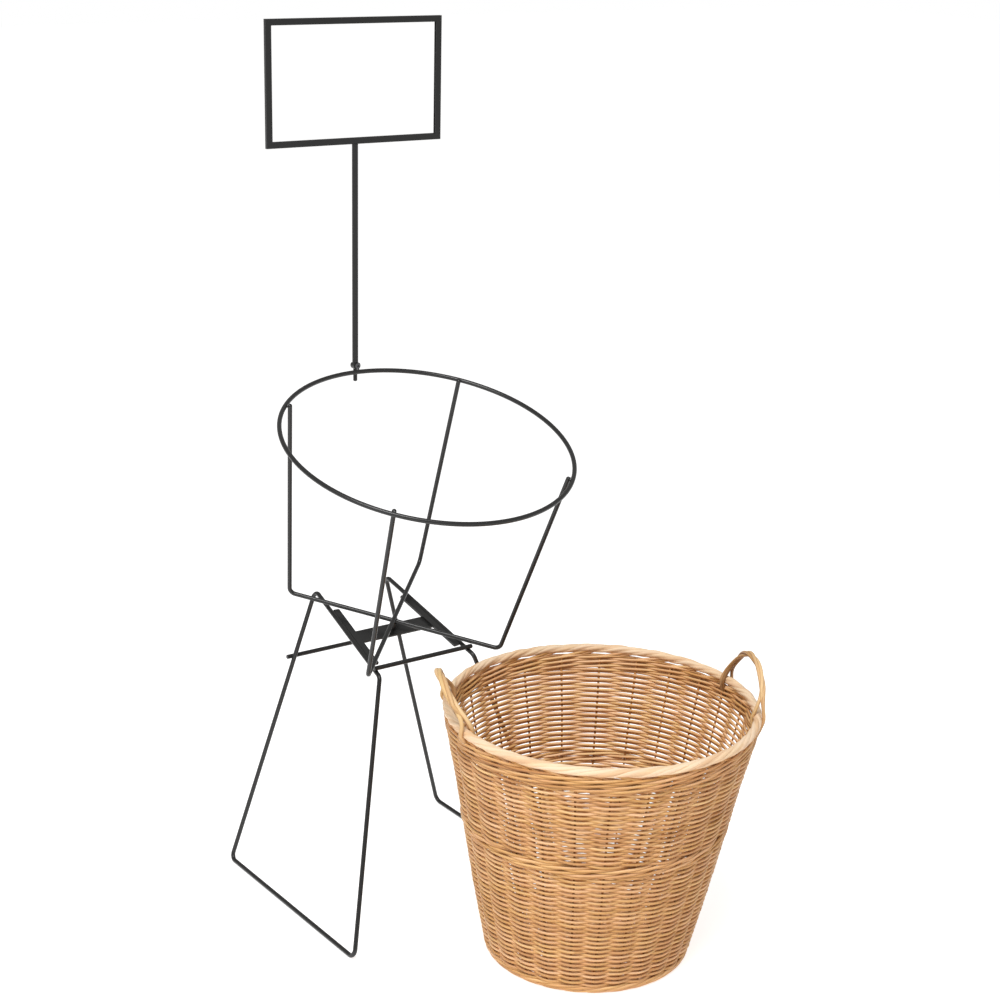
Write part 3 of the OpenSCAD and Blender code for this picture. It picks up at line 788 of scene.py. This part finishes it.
def body_of(node):
    """Name of the body that a CAD node rides on."""
    empty = frame["nodes"][node].parent
    return next(name for name, body in frame["bodies"].items() if body == empty)


def bead(name, place, node):
    """A weld bead with a slightly rippled surface, which rides with a piece."""
    radius = 2.8 * MM
    ripple = 0.12
    # How close the ripples are along each axis, in radians per metre
    along_x, along_y, along_z = 1900, 1300, 1700
    mesh = bpy.data.meshes.new(name)
    build = bmesh.new()
    bmesh.ops.create_icosphere(build, subdivisions=3, radius=radius)
    for v in build.verts:
        wave = (math.sin(along_x * v.co.x + along_y * v.co.y)
                * math.cos(along_z * v.co.z))
        v.co *= 1 + ripple * wave
        v.co += place
    build.to_mesh(mesh)
    build.free()
    for polygon in mesh.polygons:
        polygon.use_smooth = True
    mesh.materials.append(COAT)
    obj = bpy.data.objects.new(name, mesh)
    bpy.context.scene.collection.objects.link(obj)
    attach(obj, body_of(node))


# Studio
def make_floor():
    """White floor, a hair below the stand, that glows enough to vanish in the
    background and still takes a faint shadow."""
    bpy.ops.mesh.primitive_plane_add(size=30, location=(0, 0, -0.5 * MM))
    floor = bpy.context.object
    floor.name = "floor"
    material, _, _, shader = new_material("pale_floor")
    fill(shader, Base_Color=(0.7, 0.7, 0.7, 1), Roughness=0.9, Specular_IOR_Level=0.0,
         Emission_Color=(1, 1, 1, 1), Emission_Strength=0.74)
    floor.data.materials.append(material)


def make_world():
    """White where the camera looks past the object, softer as a light."""
    world = bpy.data.worlds.new("studio")
    bpy.context.scene.world = world
    world.use_nodes = True
    nodes = world.node_tree.nodes
    links = world.node_tree.links
    for node in list(nodes):
        nodes.remove(node)
    output = nodes.new("ShaderNodeOutputWorld")
    path = nodes.new("ShaderNodeLightPath")
    light = nodes.new("ShaderNodeBackground")
    fill(light, Color=(1, 0.985, 0.965, 1), Strength=0.39)
    white = nodes.new("ShaderNodeBackground")
    fill(white, Color=(1, 1, 1, 1), Strength=1.0)
    seen = nodes.new("ShaderNodeMath")
    seen.operation = "MAXIMUM"
    links.new(path.outputs["Is Camera Ray"], seen.inputs[0])
    links.new(path.outputs["Is Transmission Ray"], seen.inputs[1])
    mix = nodes.new("ShaderNodeMixShader")
    links.new(seen.outputs["Value"], mix.inputs["Fac"])
    links.new(light.outputs["Background"], mix.inputs[1])
    links.new(white.outputs["Background"], mix.inputs[2])
    links.new(mix.outputs["Shader"], output.inputs["Surface"])


def softbox(name, place, width, power):
    """A square light of a width in metres and a power in watts, aimed at the object."""
    data = bpy.data.lights.new(name, "AREA")
    data.shape = "SQUARE"
    data.size = width
    data.energy = power
    lamp = bpy.data.objects.new(name, data)
    lamp.location = place
    aim = Vector((0, 0, 0.4)) - Vector(place)
    lamp.rotation_euler = aim.to_track_quat("-Z", "Y").to_euler()
    bpy.context.scene.collection.objects.link(lamp)


# Camera, fitted to the photograph on the stand's own wires
def make_camera():
    place = (-1.428446, -1.974193, 1.330363)
    pitch = math.radians(17.161)
    yaw = math.radians(35.537)
    roll = math.radians(1.2)
    focal_px = 2024.3
    photo_px = 1000
    sensor_mm = 36
    ahead = Vector((math.sin(yaw) * math.cos(pitch), math.cos(yaw) * math.cos(pitch),
                    -math.sin(pitch)))
    right = Vector((math.cos(yaw), -math.sin(yaw), 0))
    up = right.cross(ahead)
    right, up = (right * math.cos(roll) + up * math.sin(roll),
                 up * math.cos(roll) - right * math.sin(roll))
    data = bpy.data.cameras.new("camera")
    data.sensor_width = sensor_mm
    data.lens = focal_px * sensor_mm / photo_px
    camera = bpy.data.objects.new("camera", data)
    turn = Matrix((right, up, -ahead)).transposed().to_4x4()
    camera.matrix_world = Matrix.Translation(place) @ turn
    bpy.context.scene.collection.objects.link(camera)
    bpy.context.scene.camera = camera


make_side()
make_wales()
make_stakes()
make_border()
make_base()
make_handle("handle_right_rope", "basket_handle_right", HANDLE_DIR, LEAN_RIGHT,
            (0.55, 0.05), 8 * MM, -4 * MM)
make_handle("handle_left_rope", "basket_handle_left", HANDLE_DIR + math.pi, LEAN_LEFT,
            (0.3, 0.5), 5.5 * MM, 0, girth=1.25, drop=3 * MM, tuck=16 * MM)
paint_stand()
make_welds()
make_floor()
make_world()
softbox("key", (-2.5, -1.1, 2.8), 1.3, 36)
softbox("fill", (2.4, -1.6, 2.0), 1.8, 2)
softbox("top", (-1.0, -1.1, 3.1), 1.2, 62)
make_camera()
bpy.context.scene.view_settings.view_transform = "Standard"
